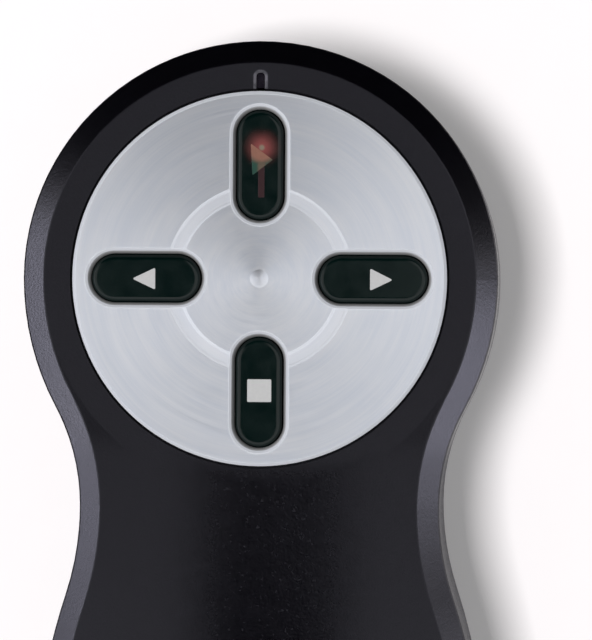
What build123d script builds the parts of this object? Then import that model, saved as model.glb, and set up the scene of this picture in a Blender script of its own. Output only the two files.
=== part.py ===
from build123d import *
from math import asin, atan2, cos, degrees, radians, sin, sqrt, tan
import os

# Wireless presentation clicker: a waisted two-shell case with a turned metal faceplate and four
# face buttons, a laser in the head, two AAA cells behind a sliding door and a receiver in the tail.
# X runs to the right, Y towards the head and Z out of the face. The case lies on its back at Z = 0.
# All sizes are in millimetres.

os.makedirs("parts", exist_ok=True)

# Case
parting_gap = 0.3
wall = 1.8
back_radius = 4.0
rim_chamfer = 1.95
rim_round = 0.5
face_round = 0.2
lip_height = 1.4
lip_thickness = 0.8
fit_gap = 0.1

# Case outline seen from above: the radii and places of its tangent arcs, from the head to the tail
face_ring_width = 4.5
flank_swell = 3.0
waist_drop = 20.15
waist_margin = 1.75
waist_radius = 25.2
shoulder_radius = 60.0
tail_margin = 3.2
tail_side_radius = 180.0
tail_corner_radius = 11.0
tail_end_radius = 30.0

# Crown of the handle: how far the face falls to each side and towards the tail
crown_sag = 3.0
crown_overhang = 3.0
crown_start_gap = 2.5
crown_run = 27.0
tail_fall = 1.4
flat_sag = 0.02

# Faceplate
plate_margin = 1.35
plate_thickness = 1.1
plate_proud = 0.2
plate_gap = 0.22
plate_bevel = 0.25
ring_inner_radius = 6.95
ring_outer_radius = 8.3
ring_depth = 0.05
ring_slope = 0.3
pip_radius = 0.8
pip_depth = 0.07

# Buttons and their switches
button_circle_radius = 10.0
slot_length = 10.3
slot_width = 4.8
slot_bevel = 0.22
slot_draft = 15
button_gap = 0.38
button_proud = 0.2
button_round = 0.45
button_travel = 0.6
flange_margin = 0.45
flange_thickness = 0.8
flange_gap = 0.1
post_radius = 1.7
post_length = 1.6
switch_size = 5.2
switch_height = 1.9
switch_bevel = 0.5
stem_radius = 1.3
stem_proud = 0.7
stem_depth = 0.8
stem_gap = 0.08
stem_floor_gap = 0.15

# Circuit board and what it carries
board_thickness = 1.2
board_rim_gap = 0.9
board_strip_half_width = 12.0
board_corner_radius = 1.5
chip_size = 5.0
chip_height = 0.9
crystal_length = 3.2
crystal_width = 2.5
crystal_height = 0.8
crystal_x = 6.4
crystal_drop = 6.8
led_length = 1.6
led_width = 0.8
led_height = 0.8
capacitor_length = 1.6
capacitor_width = 0.8
capacitor_height = 0.6
capacitor_pitch = 3.2
capacitor_columns = 4
capacitor_rows = 2
capacitor_drop = 25.0

# Indicator lens, at the edge of the faceplate's seat in a dished rim
lens_width = 0.65
lens_length = 1.3
lens_gap = 0.05
lens_rim_width = 0.35
lens_rim_depth = 0.2
lens_recess = 0.3

# Laser
laser_radius = 3.0
laser_length = 12.5
laser_bore_radius = 2.3
laser_bore_depth = 4.0
laser_bevel = 0.3
laser_lens_thickness = 1.6
laser_lens_recess = 0.6
laser_lens_bevel = 0.5
window_radius = 2.5
window_flange_radius = 3.3
window_flange_thickness = 0.85
window_recess = 0.4
cradle_half_width = 5.0
cradle_thickness = 1.2
cradle_spacing = 7.0

# Cells, their contacts and the chassis that keeps them from the board and the receiver
cell_radius = 5.15
cell_length = 44.5
cell_nub_radius = 1.9
cell_nub_length = 1.0
cell_bevel = 0.5
cell_gap = 0.5
cell_floor_gap = 0.5
cell_side_gap = 0.45
contact_thickness = 0.4
contact_side_margin = 0.95
contact_end_margin = 1.15
contact_round = 0.8
spring_length = 5.2
spring_wire_radius = 0.3
spring_radius = 2.9
spring_turns = 3.5
spring_sides = 6
bay_head_drop = 31.7
chassis_wall = 1.0
chassis_foot_width = 1.6
chassis_foot_height = 1.0
chassis_gap = 0.2

# Battery door and its rails
door_side_margin = 0.6
door_head_margin = 0.7
door_gap = 0.15
tongue_width = 2.0
tongue_depth = 1.0
tongue_thickness = 0.9
tongue_height = 1.5
tongue_gap = 0.1
rail_width = 2.4
rail_height = 3.2
grip_grooves = 5
grip_pitch = 1.8
grip_length = 12.0
grip_width = 0.9
grip_depth = 0.4
grip_setback = 7.0

# Receiver and its dock
receiver_width = 18.4
receiver_thickness = 6.4
receiver_body_length = 38.0
receiver_cap_length = 6.0
receiver_round = 1.0
receiver_wall = 0.9
receiver_board_thickness = 1.0
receiver_board_length = 30.0
nail_groove_width = 1.4
nail_groove_depth = 0.7
plug_width = 12.0
plug_height = 4.5
plug_length = 14.0
plug_root = 3.0
plug_wall = 0.35
plug_round = 0.4
plug_hole_size = 2.1
plug_hole_spacing = 5.6
plug_hole_setback = 6.0
blade_thickness = 1.9
blade_setback = 0.8
finger_width = 1.0
finger_length = 7.4
finger_thickness = 0.15
finger_setback = 1.0
inner_finger_spacing = 2.0
outer_finger_spacing = 7.0
dock_gap = 0.3
dock_floor = 1.0
dock_floor_gap = 0.2
dock_side_setdown = 0.6
dock_headroom = 1.5
dock_head_gap = 7.3

# Screws
screw_radius = 1.0
screw_grip = 5.0
screw_clearance = 0.15
screw_pilot_gap = 0.05
screw_head_radius = 1.9
screw_head_height = 1.3
screw_head_depth = 2.1
cross_length = 2.2
cross_width = 0.6
cross_depth = 0.7
boss_radius = 2.4
boss_wall_gap = 0.8
head_screw_angle = 45.0
tail_screw_drop = 66.0

# Heights worked out from the sizes above: cells, dock and receiver set the height of the face
cell_height = wall + cell_floor_gap + cell_radius
roof_bottom = cell_height + cell_radius + dock_gap
parting_height = roof_bottom + dock_floor
top_start = parting_height + parting_gap / 2
bottom_end = parting_height - parting_gap / 2
lip_top = bottom_end + lip_height
receiver_bottom = parting_height + dock_floor_gap
receiver_height = receiver_bottom + receiver_thickness / 2
dock_top = receiver_bottom + receiver_thickness + dock_gap
face_height = dock_top + dock_headroom + wall + tail_fall
ceiling_height = face_height - wall
seat_height = face_height + plate_proud - plate_thickness
tall = 2 * face_height

button_length = slot_length - 2 * button_gap
button_width = slot_width - 2 * button_gap
button_top = face_height + button_proud
flange_top = ceiling_height - flange_gap
flange_bottom = flange_top - flange_thickness
stem_top = flange_bottom - post_length
switch_top = stem_top - stem_proud
stem_bottom = switch_top - stem_depth
board_top = switch_top - switch_height
board_bottom = board_top - board_thickness
button_angles = {"forward": 0, "laser": 90, "back": 180, "stop": 270}

# Distances from the middle of the clicker: buttons and cells set the widths
plate_radius = button_circle_radius + slot_length / 2 + plate_margin
head_radius = plate_radius + face_ring_width
flank_radius = head_radius + flank_swell
head_screw_reach = head_radius - wall - boss_radius - boss_wall_gap
board_radius = head_radius - wall - board_rim_gap
seat_radius = plate_radius + plate_gap
lens_slot_length = plate_gap + lens_length + 2 * lens_gap
lens_rim_slope = degrees(atan2(lens_rim_width, lens_rim_depth))
floor_slot_shrink = 2 * (plate_thickness - slot_bevel) * tan(radians(slot_draft))
pip_dish_radius = (pip_radius**2 + pip_depth**2) / (2 * pip_depth)

cell_spacing = 2 * cell_radius + cell_gap
bay_half_width = cell_spacing / 2 + cell_radius + cell_side_gap
bay_outer_half = bay_half_width + chassis_wall
door_half_width = bay_half_width + door_side_margin
tongue_half_width = door_half_width + tongue_depth
rail_half_width = door_half_width + door_gap + rail_width
waist_half_width = rail_half_width + waist_margin
tail_screw_x = bay_outer_half + chassis_gap + boss_radius
tail_half_width = tail_screw_x + boss_radius + tail_margin
crown_half_width = max(head_radius, tail_half_width) + crown_overhang
dock_half_width = receiver_width / 2 + dock_gap

# Places along the clicker, which is as long as its head, the board's strip and the receiver
receiver_length = receiver_cap_length + receiver_body_length + plug_length
case_length = head_radius + bay_head_drop + dock_head_gap + receiver_length
head_y = case_length / 2 - head_radius
tail_y = -case_length / 2
head_centre = Vector(0, head_y)
crown_start = head_y - plate_radius - crown_start_gap
bay_head = head_y - bay_head_drop
bay_tail = bay_head - cell_length - spring_length - 2 * contact_thickness
bay_middle = (bay_head + bay_tail) / 2
door_head = bay_head + chassis_wall + door_head_margin
receiver_tail = tail_y + receiver_cap_length
receiver_head = receiver_tail + receiver_body_length
plug_tip = receiver_head + plug_length

head_screw_x = head_screw_reach * sin(radians(head_screw_angle))
head_screw_y = head_y + head_screw_reach * cos(radians(head_screw_angle))
tail_screw_y = head_y - tail_screw_drop
head_screws = [(head_screw_x, head_screw_y), (-head_screw_x, head_screw_y)]
tail_screws = [(tail_screw_x, tail_screw_y), (-tail_screw_x, tail_screw_y)]

window_flange_front = head_y + sqrt((head_radius - wall) ** 2 - window_flange_radius**2) - fit_gap
window_flange_back = window_flange_front - window_flange_thickness
window_front = head_y + sqrt(head_radius**2 - window_radius**2) - window_recess
laser_front = window_flange_back - fit_gap
laser_back = laser_front - laser_length
lens_slot_y = head_y + plate_radius + lens_slot_length / 2
lens_y = head_y + seat_radius + lens_gap + lens_length / 2


def level(height):
    """The horizontal plane at a height above the back."""
    return Plane.XY.offset(height)


def upright(y):
    """The upright plane across the clicker at a place along it; extrusions from it run to the head."""
    return Plane(origin=(0, y, 0), x_dir=(-1, 0, 0), z_dir=(0, 1, 0))


# ---------------------------------------------------------------- case outline
def lower_tangent_centre(first, first_distance, second, second_distance):
    """The lower point that lies at the two distances from the two centres."""
    gap = (second - first).length
    along = (first_distance**2 - second_distance**2 + gap**2) / (2 * gap)
    across = sqrt(first_distance**2 - along**2)
    unit = (second - first) / gap
    side = Vector(-unit.Y, unit.X) * across
    return min(first + unit * along + side, first + unit * along - side, key=lambda point: point.Y)


def bearing(centre, point):
    """The angle of a point seen from a centre, in degrees from +X."""
    return degrees(atan2(point.Y - centre.Y, point.X - centre.X))


waist_y = head_y - waist_drop
flank_centre = Vector(head_radius - flank_radius, head_y)
flank_reach = waist_half_width - flank_centre.X
hip_radius = (flank_reach**2 + waist_drop**2 - flank_radius**2) / (2 * (flank_radius - flank_reach))
hip_centre = Vector(waist_half_width + hip_radius, waist_y)
hip_angle = degrees(asin(waist_drop / (hip_radius + flank_radius)))
waist_centre = Vector(waist_half_width + waist_radius, waist_y)
shoulder_x = tail_half_width - shoulder_radius
shoulder_fall = sqrt((waist_radius + shoulder_radius) ** 2 - (waist_centre.X - shoulder_x) ** 2)
shoulder_centre = Vector(shoulder_x, waist_y - shoulder_fall)
shoulder_angle = degrees(asin(shoulder_fall / (waist_radius + shoulder_radius)))
side_centre = Vector(tail_half_width - tail_side_radius, shoulder_centre.Y)
end_centre = Vector(0, tail_y + tail_end_radius)
corner_centre = lower_tangent_centre(
    side_centre, tail_side_radius - tail_corner_radius, end_centre, tail_end_radius - tail_corner_radius
)
side_angle = bearing(side_centre, corner_centre)
end_angle = bearing(end_centre, corner_centre)


def outline_inside(inset):
    """The case outline set in by a distance: each arc keeps its centre and changes its radius."""
    with BuildSketch() as outline:
        with BuildLine():
            CenterArc(head_centre, head_radius - inset, 0, 90)
            CenterArc(flank_centre, flank_radius - inset, -hip_angle, hip_angle)
            CenterArc(hip_centre, hip_radius + inset, 180 - hip_angle, hip_angle)
            CenterArc(waist_centre, waist_radius + inset, 180, shoulder_angle)
            CenterArc(shoulder_centre, shoulder_radius - inset, 0, shoulder_angle)
            CenterArc(side_centre, tail_side_radius - inset, side_angle, -side_angle)
            CenterArc(corner_centre, tail_corner_radius - inset, end_angle, side_angle - end_angle)
            CenterArc(end_centre, tail_end_radius - inset, -90, end_angle + 90)
            mirror(about=Plane.YZ)
        make_face()
    return outline.sketch


case_outline = outline_inside(0.0)
cavity_outline = outline_inside(wall)
lip_outline = outline_inside(wall - lip_thickness)
lip_seat_outline = outline_inside(wall - lip_thickness - fit_gap)


# ---------------------------------------------------------------- crowned forms
def crown_share(y):
    """How much of the crown is reached at y: none on the head, all of it on the handle."""
    share = min(max((crown_start - y) / crown_run, 0.0), 1.0)
    return share * share * (3 - 2 * share)


def crowned_block(drop):
    """A block under the crowned face, lowered by a drop and lofted through arcs across the case."""
    margin = 5.0
    stations = 15
    start = head_y + head_radius + margin
    step = (case_length + 2 * margin) / (stations - 1)
    with BuildPart() as block:
        for station in range(stations):
            y = start - station * step
            fall_share = max(0.0, (crown_start - y) / (crown_start - tail_y))
            spine = face_height - drop - tail_fall * fall_share**2
            edge = spine - flat_sag - crown_sag * crown_share(y)
            with BuildSketch(upright(y)):
                with BuildLine():
                    Polyline(
                        (crown_half_width, edge),
                        (crown_half_width, -wall),
                        (-crown_half_width, -wall),
                        (-crown_half_width, edge),
                    )
                    ThreePointArc((-crown_half_width, edge), (0, spine), (crown_half_width, edge))
                make_face()
        loft()
    return block.part


with BuildPart() as outer_form:
    with BuildSketch():
        add(case_outline)
    extrude(amount=tall)
    add(crowned_block(0.0), mode=Mode.INTERSECT)
    chamfer(outer_form.faces().sort_by(Axis.Z)[-1].edges(), rim_chamfer)
    side_faces = outer_form.faces().filter_by(lambda face: abs(face.normal_at().Z) < 0.01)
    fillet([face.edges().sort_by(Axis.Z)[-1] for face in side_faces], rim_round)
    fillet(outer_form.faces().sort_by(Axis.Z)[-1].edges(), face_round)
    fillet(outer_form.faces().sort_by(Axis.Z)[0].edges(), back_radius)

with BuildPart() as inner_form:
    with BuildSketch(level(wall)):
        add(cavity_outline)
    extrude(amount=tall)
    add(crowned_block(wall), mode=Mode.INTERSECT)
    chamfer(inner_form.faces().sort_by(Axis.Z)[0].edges(), back_radius - wall)


# ---------------------------------------------------------------- top shell
with BuildPart() as top_bosses:
    with BuildSketch(level(board_top)):
        with Locations(head_screws):
            Circle(boss_radius)
    extrude(amount=tall)
    with BuildSketch(level(parting_height)):
        with Locations(tail_screws):
            Circle(boss_radius)
    extrude(amount=tall)
    add(crowned_block(wall / 2), mode=Mode.INTERSECT)

with BuildPart() as top_shell:
    add(outer_form.part)
    split(bisect_by=level(top_start), keep=Keep.TOP)
    add(inner_form.part, mode=Mode.SUBTRACT)
    add(top_bosses.part)
    # Rebate for the lip of the bottom shell
    with BuildSketch(level(top_start)):
        add(lip_seat_outline)
        add(cavity_outline, mode=Mode.SUBTRACT)
    extrude(amount=lip_top + fit_gap - top_start, mode=Mode.SUBTRACT)
    # Seat of the faceplate, and the slots through its floor
    with BuildSketch(level(seat_height)):
        with Locations(head_centre):
            Circle(seat_radius)
    extrude(amount=wall, mode=Mode.SUBTRACT)
    with BuildSketch(level(ceiling_height - wall)):
        with Locations(head_centre):
            with PolarLocations(button_circle_radius, len(button_angles)):
                SlotOverall(slot_length - floor_slot_shrink, slot_width - floor_slot_shrink)
    extrude(amount=2 * wall, mode=Mode.SUBTRACT)
    # Slot of the indicator lens and its dished rim, both open towards the faceplate
    with BuildSketch(level(ceiling_height - wall)) as lens_slot:
        with Locations((0, lens_slot_y)):
            Rectangle(lens_width + 2 * lens_gap, lens_slot_length)
        fillet(lens_slot.vertices().group_by(Axis.Y)[-1], lens_width / 2)
    extrude(amount=tall, mode=Mode.SUBTRACT)
    with BuildSketch(level(face_height - lens_rim_depth)) as lens_rim:
        with Locations((0, lens_slot_y)):
            Rectangle(lens_width, lens_slot_length - 2 * lens_gap)
        fillet(lens_rim.vertices().group_by(Axis.Y)[-1], lens_width / 2 - lens_gap)
    extrude(amount=2 * lens_rim_depth, taper=-lens_rim_slope, mode=Mode.SUBTRACT)
    # Hole of the laser window, half in each shell
    with BuildSketch(upright(head_y)):
        with Locations((0, parting_height)):
            Circle(window_radius + fit_gap / 2)
    extrude(amount=tall, mode=Mode.SUBTRACT)
    # Mouth of the receiver's dock
    with BuildSketch(upright(tail_y - wall)) as dock_mouth:
        with Locations((0, parting_height)):
            Rectangle(2 * dock_half_width, 2 * (dock_top - parting_height))
        fillet(dock_mouth.vertices(), receiver_round + dock_gap)
    extrude(amount=3 * wall, mode=Mode.SUBTRACT)
    # Pilot holes of the screws
    with BuildSketch(level(parting_height)):
        with Locations(head_screws):
            Circle(screw_radius + screw_pilot_gap)
    extrude(amount=board_top + screw_grip - fit_gap - parting_height, mode=Mode.SUBTRACT)
    with BuildSketch(level(parting_height)):
        with Locations(tail_screws):
            Circle(screw_radius + screw_pilot_gap)
    extrude(amount=screw_grip + fit_gap, mode=Mode.SUBTRACT)
top_shell.part.label = "top_shell"
export_step(top_shell.part, "parts/top_shell.step")


# ---------------------------------------------------------------- bottom shell
with BuildPart() as bottom_ribs:
    # Rails beside and above the door, on the floor of the case
    with BuildSketch(level(wall / 2)):
        with Locations((0, door_head - case_length / 2 + door_gap + rail_width)):
            Rectangle(2 * rail_half_width, case_length)
    extrude(amount=rail_height - wall / 2)
    with BuildSketch(level(0)):
        with Locations((0, door_head - case_length / 2 + door_gap)):
            Rectangle(2 * (door_half_width + door_gap), case_length)
    extrude(amount=tall, mode=Mode.SUBTRACT)
    # Screw bosses
    with BuildSketch(level(wall / 2)):
        with Locations(head_screws):
            Circle(boss_radius)
    extrude(amount=board_bottom - wall / 2)
    with BuildSketch(level(wall / 2)):
        with Locations(tail_screws):
            Circle(boss_radius)
    extrude(amount=parting_height - wall / 2)
    # Cradle ribs under the laser
    with BuildSketch(level(wall / 2)):
        with Locations((0, laser_front - laser_length / 2)):
            with GridLocations(0, cradle_spacing, 1, 2):
                Rectangle(2 * cradle_half_width, cradle_thickness)
    extrude(amount=parting_height - wall / 2)
    with BuildSketch(upright(laser_back - laser_length)):
        with Locations((0, parting_height)):
            Circle(laser_radius + fit_gap / 2)
    extrude(amount=3 * laser_length, mode=Mode.SUBTRACT)
    with BuildSketch(level(0)):
        add(outline_inside(wall - fit_gap))
    extrude(amount=tall, mode=Mode.INTERSECT)

with BuildPart() as bottom_shell:
    add(outer_form.part)
    split(bisect_by=level(bottom_end), keep=Keep.BOTTOM)
    add(inner_form.part, mode=Mode.SUBTRACT)
    with BuildSketch(level(bottom_end)):
        add(lip_outline)
        add(cavity_outline, mode=Mode.SUBTRACT)
    extrude(amount=lip_height)
    add(bottom_ribs.part)
    # Opening of the door and the grooves for its tongues, out through the tail
    with BuildSketch(level(0)):
        with Locations((0, door_head - case_length / 2 + door_gap)):
            Rectangle(2 * (door_half_width + door_gap), case_length)
    extrude(amount=wall + door_gap, mode=Mode.SUBTRACT)
    with BuildSketch(level(tongue_height - tongue_gap)):
        with Locations((0, door_head - case_length / 2 + door_gap)):
            Rectangle(2 * (tongue_half_width + door_gap), case_length)
            Rectangle(2 * (tongue_half_width - tongue_width - door_gap), case_length, mode=Mode.SUBTRACT)
    extrude(amount=tongue_thickness + 2 * tongue_gap, mode=Mode.SUBTRACT)
    # Hole of the laser window, half in each shell
    with BuildSketch(upright(head_y)):
        with Locations((0, parting_height)):
            Circle(window_radius + fit_gap / 2)
    extrude(amount=tall, mode=Mode.SUBTRACT)
    # The lip stops at the mouth of the receiver's dock
    with BuildSketch(upright(tail_y - wall)):
        with Locations((0, bottom_end + lip_height)):
            Rectangle(2 * dock_half_width, 2 * lip_height)
    extrude(amount=3 * wall, mode=Mode.SUBTRACT)
    # Screw holes with their counterbores
    with BuildSketch(level(0)):
        with Locations(head_screws + tail_screws):
            Circle(screw_radius + screw_clearance)
    extrude(amount=tall, mode=Mode.SUBTRACT)
    with BuildSketch(level(0)):
        with Locations(head_screws + tail_screws):
            Circle(screw_head_radius + screw_clearance)
    extrude(amount=screw_head_depth, mode=Mode.SUBTRACT)
bottom_shell.part.label = "bottom_shell"
export_step(bottom_shell.part, "parts/bottom_shell.step")


# ---------------------------------------------------------------- battery door
with BuildPart() as door_tongues:
    with BuildSketch(level(tongue_height)):
        with Locations((0, door_head - case_length / 2)):
            Rectangle(2 * tongue_half_width, case_length)
            Rectangle(2 * (tongue_half_width - tongue_width), case_length, mode=Mode.SUBTRACT)
    extrude(amount=tongue_thickness)
    with BuildSketch(level(0)):
        add(cavity_outline)
    extrude(amount=tall, mode=Mode.INTERSECT)

with BuildPart() as battery_door:
    with BuildSketch(level(0)):
        with Locations((0, door_head - case_length / 2)):
            Rectangle(2 * door_half_width, case_length)
    extrude(amount=wall)
    add(outer_form.part, mode=Mode.INTERSECT)
    add(door_tongues.part)
    with BuildSketch(level(0)):
        with Locations((0, door_head - grip_setback)):
            with GridLocations(0, grip_pitch, 1, grip_grooves):
                SlotOverall(grip_length, grip_width)
    extrude(amount=grip_depth, mode=Mode.SUBTRACT)
battery_door.part.label = "battery_door"
export_step(battery_door.part, "parts/battery_door.step")


# ---------------------------------------------------------------- faceplate
with BuildPart() as faceplate:
    plate_top = seat_height + plate_thickness
    with BuildSketch(level(seat_height)):
        with Locations(head_centre):
            Circle(plate_radius)
    extrude(amount=plate_thickness)
    chamfer(faceplate.faces().sort_by(Axis.Z)[-1].edges(), plate_bevel)
    # Turned ring that links the slots, and the shallow dish left by the lathe's centre
    with BuildSketch(Plane(origin=(0, head_y, plate_top), x_dir=(1, 0, 0), z_dir=(0, -1, 0))):
        with BuildLine():
            Polyline(
                (ring_inner_radius, 0),
                (ring_inner_radius + ring_slope, -ring_depth),
                (ring_outer_radius - ring_slope, -ring_depth),
                (ring_outer_radius, 0),
                close=True,
            )
        make_face()
    revolve(axis=Axis((0, head_y, 0), (0, 0, 1)), mode=Mode.SUBTRACT)
    with Locations((0, head_y, plate_top - pip_depth + pip_dish_radius)):
        Sphere(pip_dish_radius, mode=Mode.SUBTRACT)
    # Slots: a bevel round each and walls that draw in towards the floor
    with BuildSketch(level(plate_top)):
        with Locations(head_centre):
            with PolarLocations(button_circle_radius, len(button_angles)):
                SlotOverall(slot_length + 2 * slot_bevel, slot_width + 2 * slot_bevel)
    extrude(amount=-slot_bevel, taper=45, mode=Mode.SUBTRACT)
    with BuildSketch(level(plate_top - slot_bevel)):
        with Locations(head_centre):
            with PolarLocations(button_circle_radius, len(button_angles)):
                SlotOverall(slot_length, slot_width)
    extrude(amount=slot_bevel - plate_thickness, taper=slot_draft, mode=Mode.SUBTRACT)
faceplate.part.label = "faceplate"
export_step(faceplate.part, "parts/faceplate.step")


# ---------------------------------------------------------------- buttons, switches and stems
def face_button(angle):
    """A button: a flange under the shell, the cap through the slot and a post down to its switch."""
    with BuildPart() as button:
        with BuildSketch(level(flange_bottom)):
            with Locations(head_centre):
                with PolarLocations(button_circle_radius, 1, angle):
                    SlotOverall(slot_length + 2 * flange_margin, slot_width + 2 * flange_margin)
        extrude(amount=flange_thickness)
        with BuildSketch(level(flange_top)):
            with Locations(head_centre):
                with PolarLocations(button_circle_radius, 1, angle):
                    SlotOverall(button_length, button_width)
        extrude(amount=button_top - flange_top)
        fillet(button.faces().sort_by(Axis.Z)[-1].edges(), button_round)
        with BuildSketch(level(stem_top)):
            with Locations(head_centre):
                with PolarLocations(button_circle_radius, 1, angle):
                    Circle(post_radius)
        extrude(amount=flange_bottom - stem_top)
    return button.part


def switch_housing(angle):
    """A tact switch on the board, bored for its stem."""
    with BuildPart() as housing:
        with BuildSketch(level(board_top)):
            with Locations(head_centre):
                with PolarLocations(button_circle_radius, 1, angle):
                    Rectangle(switch_size, switch_size)
        extrude(amount=switch_height)
        chamfer(housing.edges().filter_by(Axis.Z), switch_bevel)
        with BuildSketch(level(switch_top)):
            with Locations(head_centre):
                with PolarLocations(button_circle_radius, 1, angle):
                    Circle(stem_radius + stem_gap)
        extrude(amount=-(stem_depth + button_travel + stem_floor_gap), mode=Mode.SUBTRACT)
    return housing.part


def switch_stem(angle):
    """The stem of a tact switch, which rises and falls with its button."""
    with BuildPart() as stem:
        with BuildSketch(level(stem_bottom)):
            with Locations(head_centre):
                with PolarLocations(button_circle_radius, 1, angle):
                    Circle(stem_radius)
        extrude(amount=stem_top - stem_bottom)
    return stem.part


for name, angle in button_angles.items():
    for kind, make in (("button", face_button), ("switch", switch_housing), ("stem", switch_stem)):
        piece = make(angle)
        piece.label = f"{kind}_{name}"
        export_step(piece, f"parts/{kind}_{name}.step")


# ---------------------------------------------------------------- circuit board
with BuildPart() as circuit_board:
    with BuildSketch(level(board_bottom)):
        with Locations((0, (head_y + bay_head) / 2)):
            RectangleRounded(2 * board_strip_half_width, head_y - bay_head, board_corner_radius)
        with Locations(head_centre):
            Circle(board_radius)
        with Locations(head_screws):
            Circle(screw_radius + screw_clearance, mode=Mode.SUBTRACT)
    extrude(amount=board_thickness)
circuit_board.part.label = "circuit_board"
export_step(circuit_board.part, "parts/circuit_board.step")

with BuildPart() as radio_chip:
    with BuildSketch(level(board_top)):
        with Locations(head_centre):
            Rectangle(chip_size, chip_size)
    extrude(amount=chip_height)
radio_chip.part.label = "radio_chip"
export_step(radio_chip.part, "parts/radio_chip.step")

with BuildPart() as crystal:
    with BuildSketch(level(board_top)):
        with Locations((crystal_x, head_y - crystal_drop)):
            RectangleRounded(crystal_length, crystal_width, crystal_width / 4)
    extrude(amount=crystal_height)
crystal.part.label = "crystal"
export_step(crystal.part, "parts/crystal.step")

with BuildPart() as capacitors:
    with BuildSketch(level(board_top)):
        with Locations((0, head_y - capacitor_drop)):
            with GridLocations(capacitor_pitch, capacitor_pitch, capacitor_columns, capacitor_rows):
                Rectangle(capacitor_width, capacitor_length)
    extrude(amount=capacitor_height)
capacitors.part.label = "capacitors"
export_step(capacitors.part, "parts/capacitors.step")

with BuildPart() as indicator_led:
    with BuildSketch(level(board_top)):
        with Locations((0, lens_y)):
            Rectangle(led_length, led_width)
    extrude(amount=led_height)
indicator_led.part.label = "indicator_led"
export_step(indicator_led.part, "parts/indicator_led.step")

with BuildPart() as indicator_lens:
    with BuildSketch(level(board_top + led_height + fit_gap)) as lens_arch:
        with Locations((0, lens_y)):
            Rectangle(lens_width, lens_length)
        fillet(lens_arch.vertices().group_by(Axis.Y)[-1], lens_width / 2 - lens_gap)
    extrude(amount=face_height - lens_recess - board_top - led_height - fit_gap)
indicator_lens.part.label = "indicator_lens"
export_step(indicator_lens.part, "parts/indicator_lens.step")


# ---------------------------------------------------------------- laser
with BuildPart() as laser_barrel:
    with BuildSketch(upright(laser_back)):
        with Locations((0, parting_height)):
            Circle(laser_radius)
    extrude(amount=laser_length)
    chamfer(laser_barrel.edges().filter_by(GeomType.CIRCLE), laser_bevel)
    with BuildSketch(upright(laser_front)):
        with Locations((0, parting_height)):
            Circle(laser_bore_radius)
    extrude(amount=-laser_bore_depth, mode=Mode.SUBTRACT)
laser_barrel.part.label = "laser_barrel"
export_step(laser_barrel.part, "parts/laser_barrel.step")

with BuildPart() as laser_lens:
    with BuildSketch(upright(laser_front - laser_lens_recess)):
        with Locations((0, parting_height)):
            Circle(laser_bore_radius - fit_gap / 2)
    extrude(amount=-laser_lens_thickness)
    chamfer(laser_lens.edges().sort_by(Axis.Y)[-1], laser_lens_bevel)
laser_lens.part.label = "laser_lens"
export_step(laser_lens.part, "parts/laser_lens.step")

with BuildPart() as laser_window:
    with BuildSketch(upright(window_flange_back)):
        with Locations((0, parting_height)):
            Circle(window_flange_radius)
    extrude(amount=window_flange_thickness)
    with BuildSketch(upright(window_flange_front)):
        with Locations((0, parting_height)):
            Circle(window_radius)
    extrude(amount=window_front - window_flange_front)
laser_window.part.label = "laser_window"
export_step(laser_window.part, "parts/laser_window.step")


# ---------------------------------------------------------------- chassis
with BuildPart() as battery_chassis:
    bay_outer_length = bay_head - bay_tail + 2 * chassis_wall
    # Feet on the door's rails, walls round the cells and the roof over them
    with BuildSketch(level(rail_height)):
        with Locations((0, bay_middle)):
            Rectangle(2 * (bay_outer_half + chassis_foot_width), bay_outer_length)
    extrude(amount=chassis_foot_height)
    with BuildSketch(level(rail_height)):
        with Locations((0, bay_middle)):
            Rectangle(2 * bay_outer_half, bay_outer_length)
    extrude(amount=parting_height - rail_height)
    with BuildSketch(level(wall + cell_floor_gap)):
        with Locations((0, bay_middle)):
            Rectangle(2 * (tongue_half_width - tongue_width - chassis_gap), bay_outer_length)
    extrude(amount=rail_height - wall - cell_floor_gap)
    # Head wall, up to the circuit board that rests on it
    with BuildSketch(level(rail_height)):
        with Locations((0, bay_head + chassis_wall / 2)):
            Rectangle(2 * bay_outer_half, chassis_wall)
    extrude(amount=board_bottom - rail_height)
    # Space of the cells
    with BuildSketch(level(0)):
        with Locations((0, bay_middle)):
            Rectangle(2 * bay_half_width, bay_head - bay_tail)
    extrude(amount=roof_bottom, mode=Mode.SUBTRACT)
    # Floor, sides and end stop of the receiver's dock
    with BuildSketch(level(roof_bottom)):
        with Locations((0, (tail_y + plug_tip) / 2)):
            Rectangle(2 * (dock_half_width + chassis_wall), plug_tip - tail_y)
    extrude(amount=parting_height - roof_bottom)
    with BuildSketch(level(parting_height)):
        with Locations((0, (tail_y + plug_tip) / 2 + chassis_wall)):
            Rectangle(2 * (dock_half_width + chassis_wall), plug_tip - tail_y + 2 * chassis_wall)
        with Locations((0, (tail_y + plug_tip) / 2 + dock_gap - wall)):
            Rectangle(2 * dock_half_width, plug_tip - tail_y + 2 * wall, mode=Mode.SUBTRACT)
    extrude(amount=dock_floor_gap + receiver_thickness - dock_side_setdown)
    # Room for the screw bosses, and for the wall of the case
    with BuildSketch(level(0)):
        with Locations(tail_screws):
            Circle(boss_radius + chassis_gap)
    extrude(amount=tall, mode=Mode.SUBTRACT)
    with BuildSketch(level(0)):
        add(outline_inside(wall + chassis_gap))
    extrude(amount=tall, mode=Mode.INTERSECT)
battery_chassis.part.label = "battery_chassis"
export_step(battery_chassis.part, "parts/battery_chassis.step")


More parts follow.
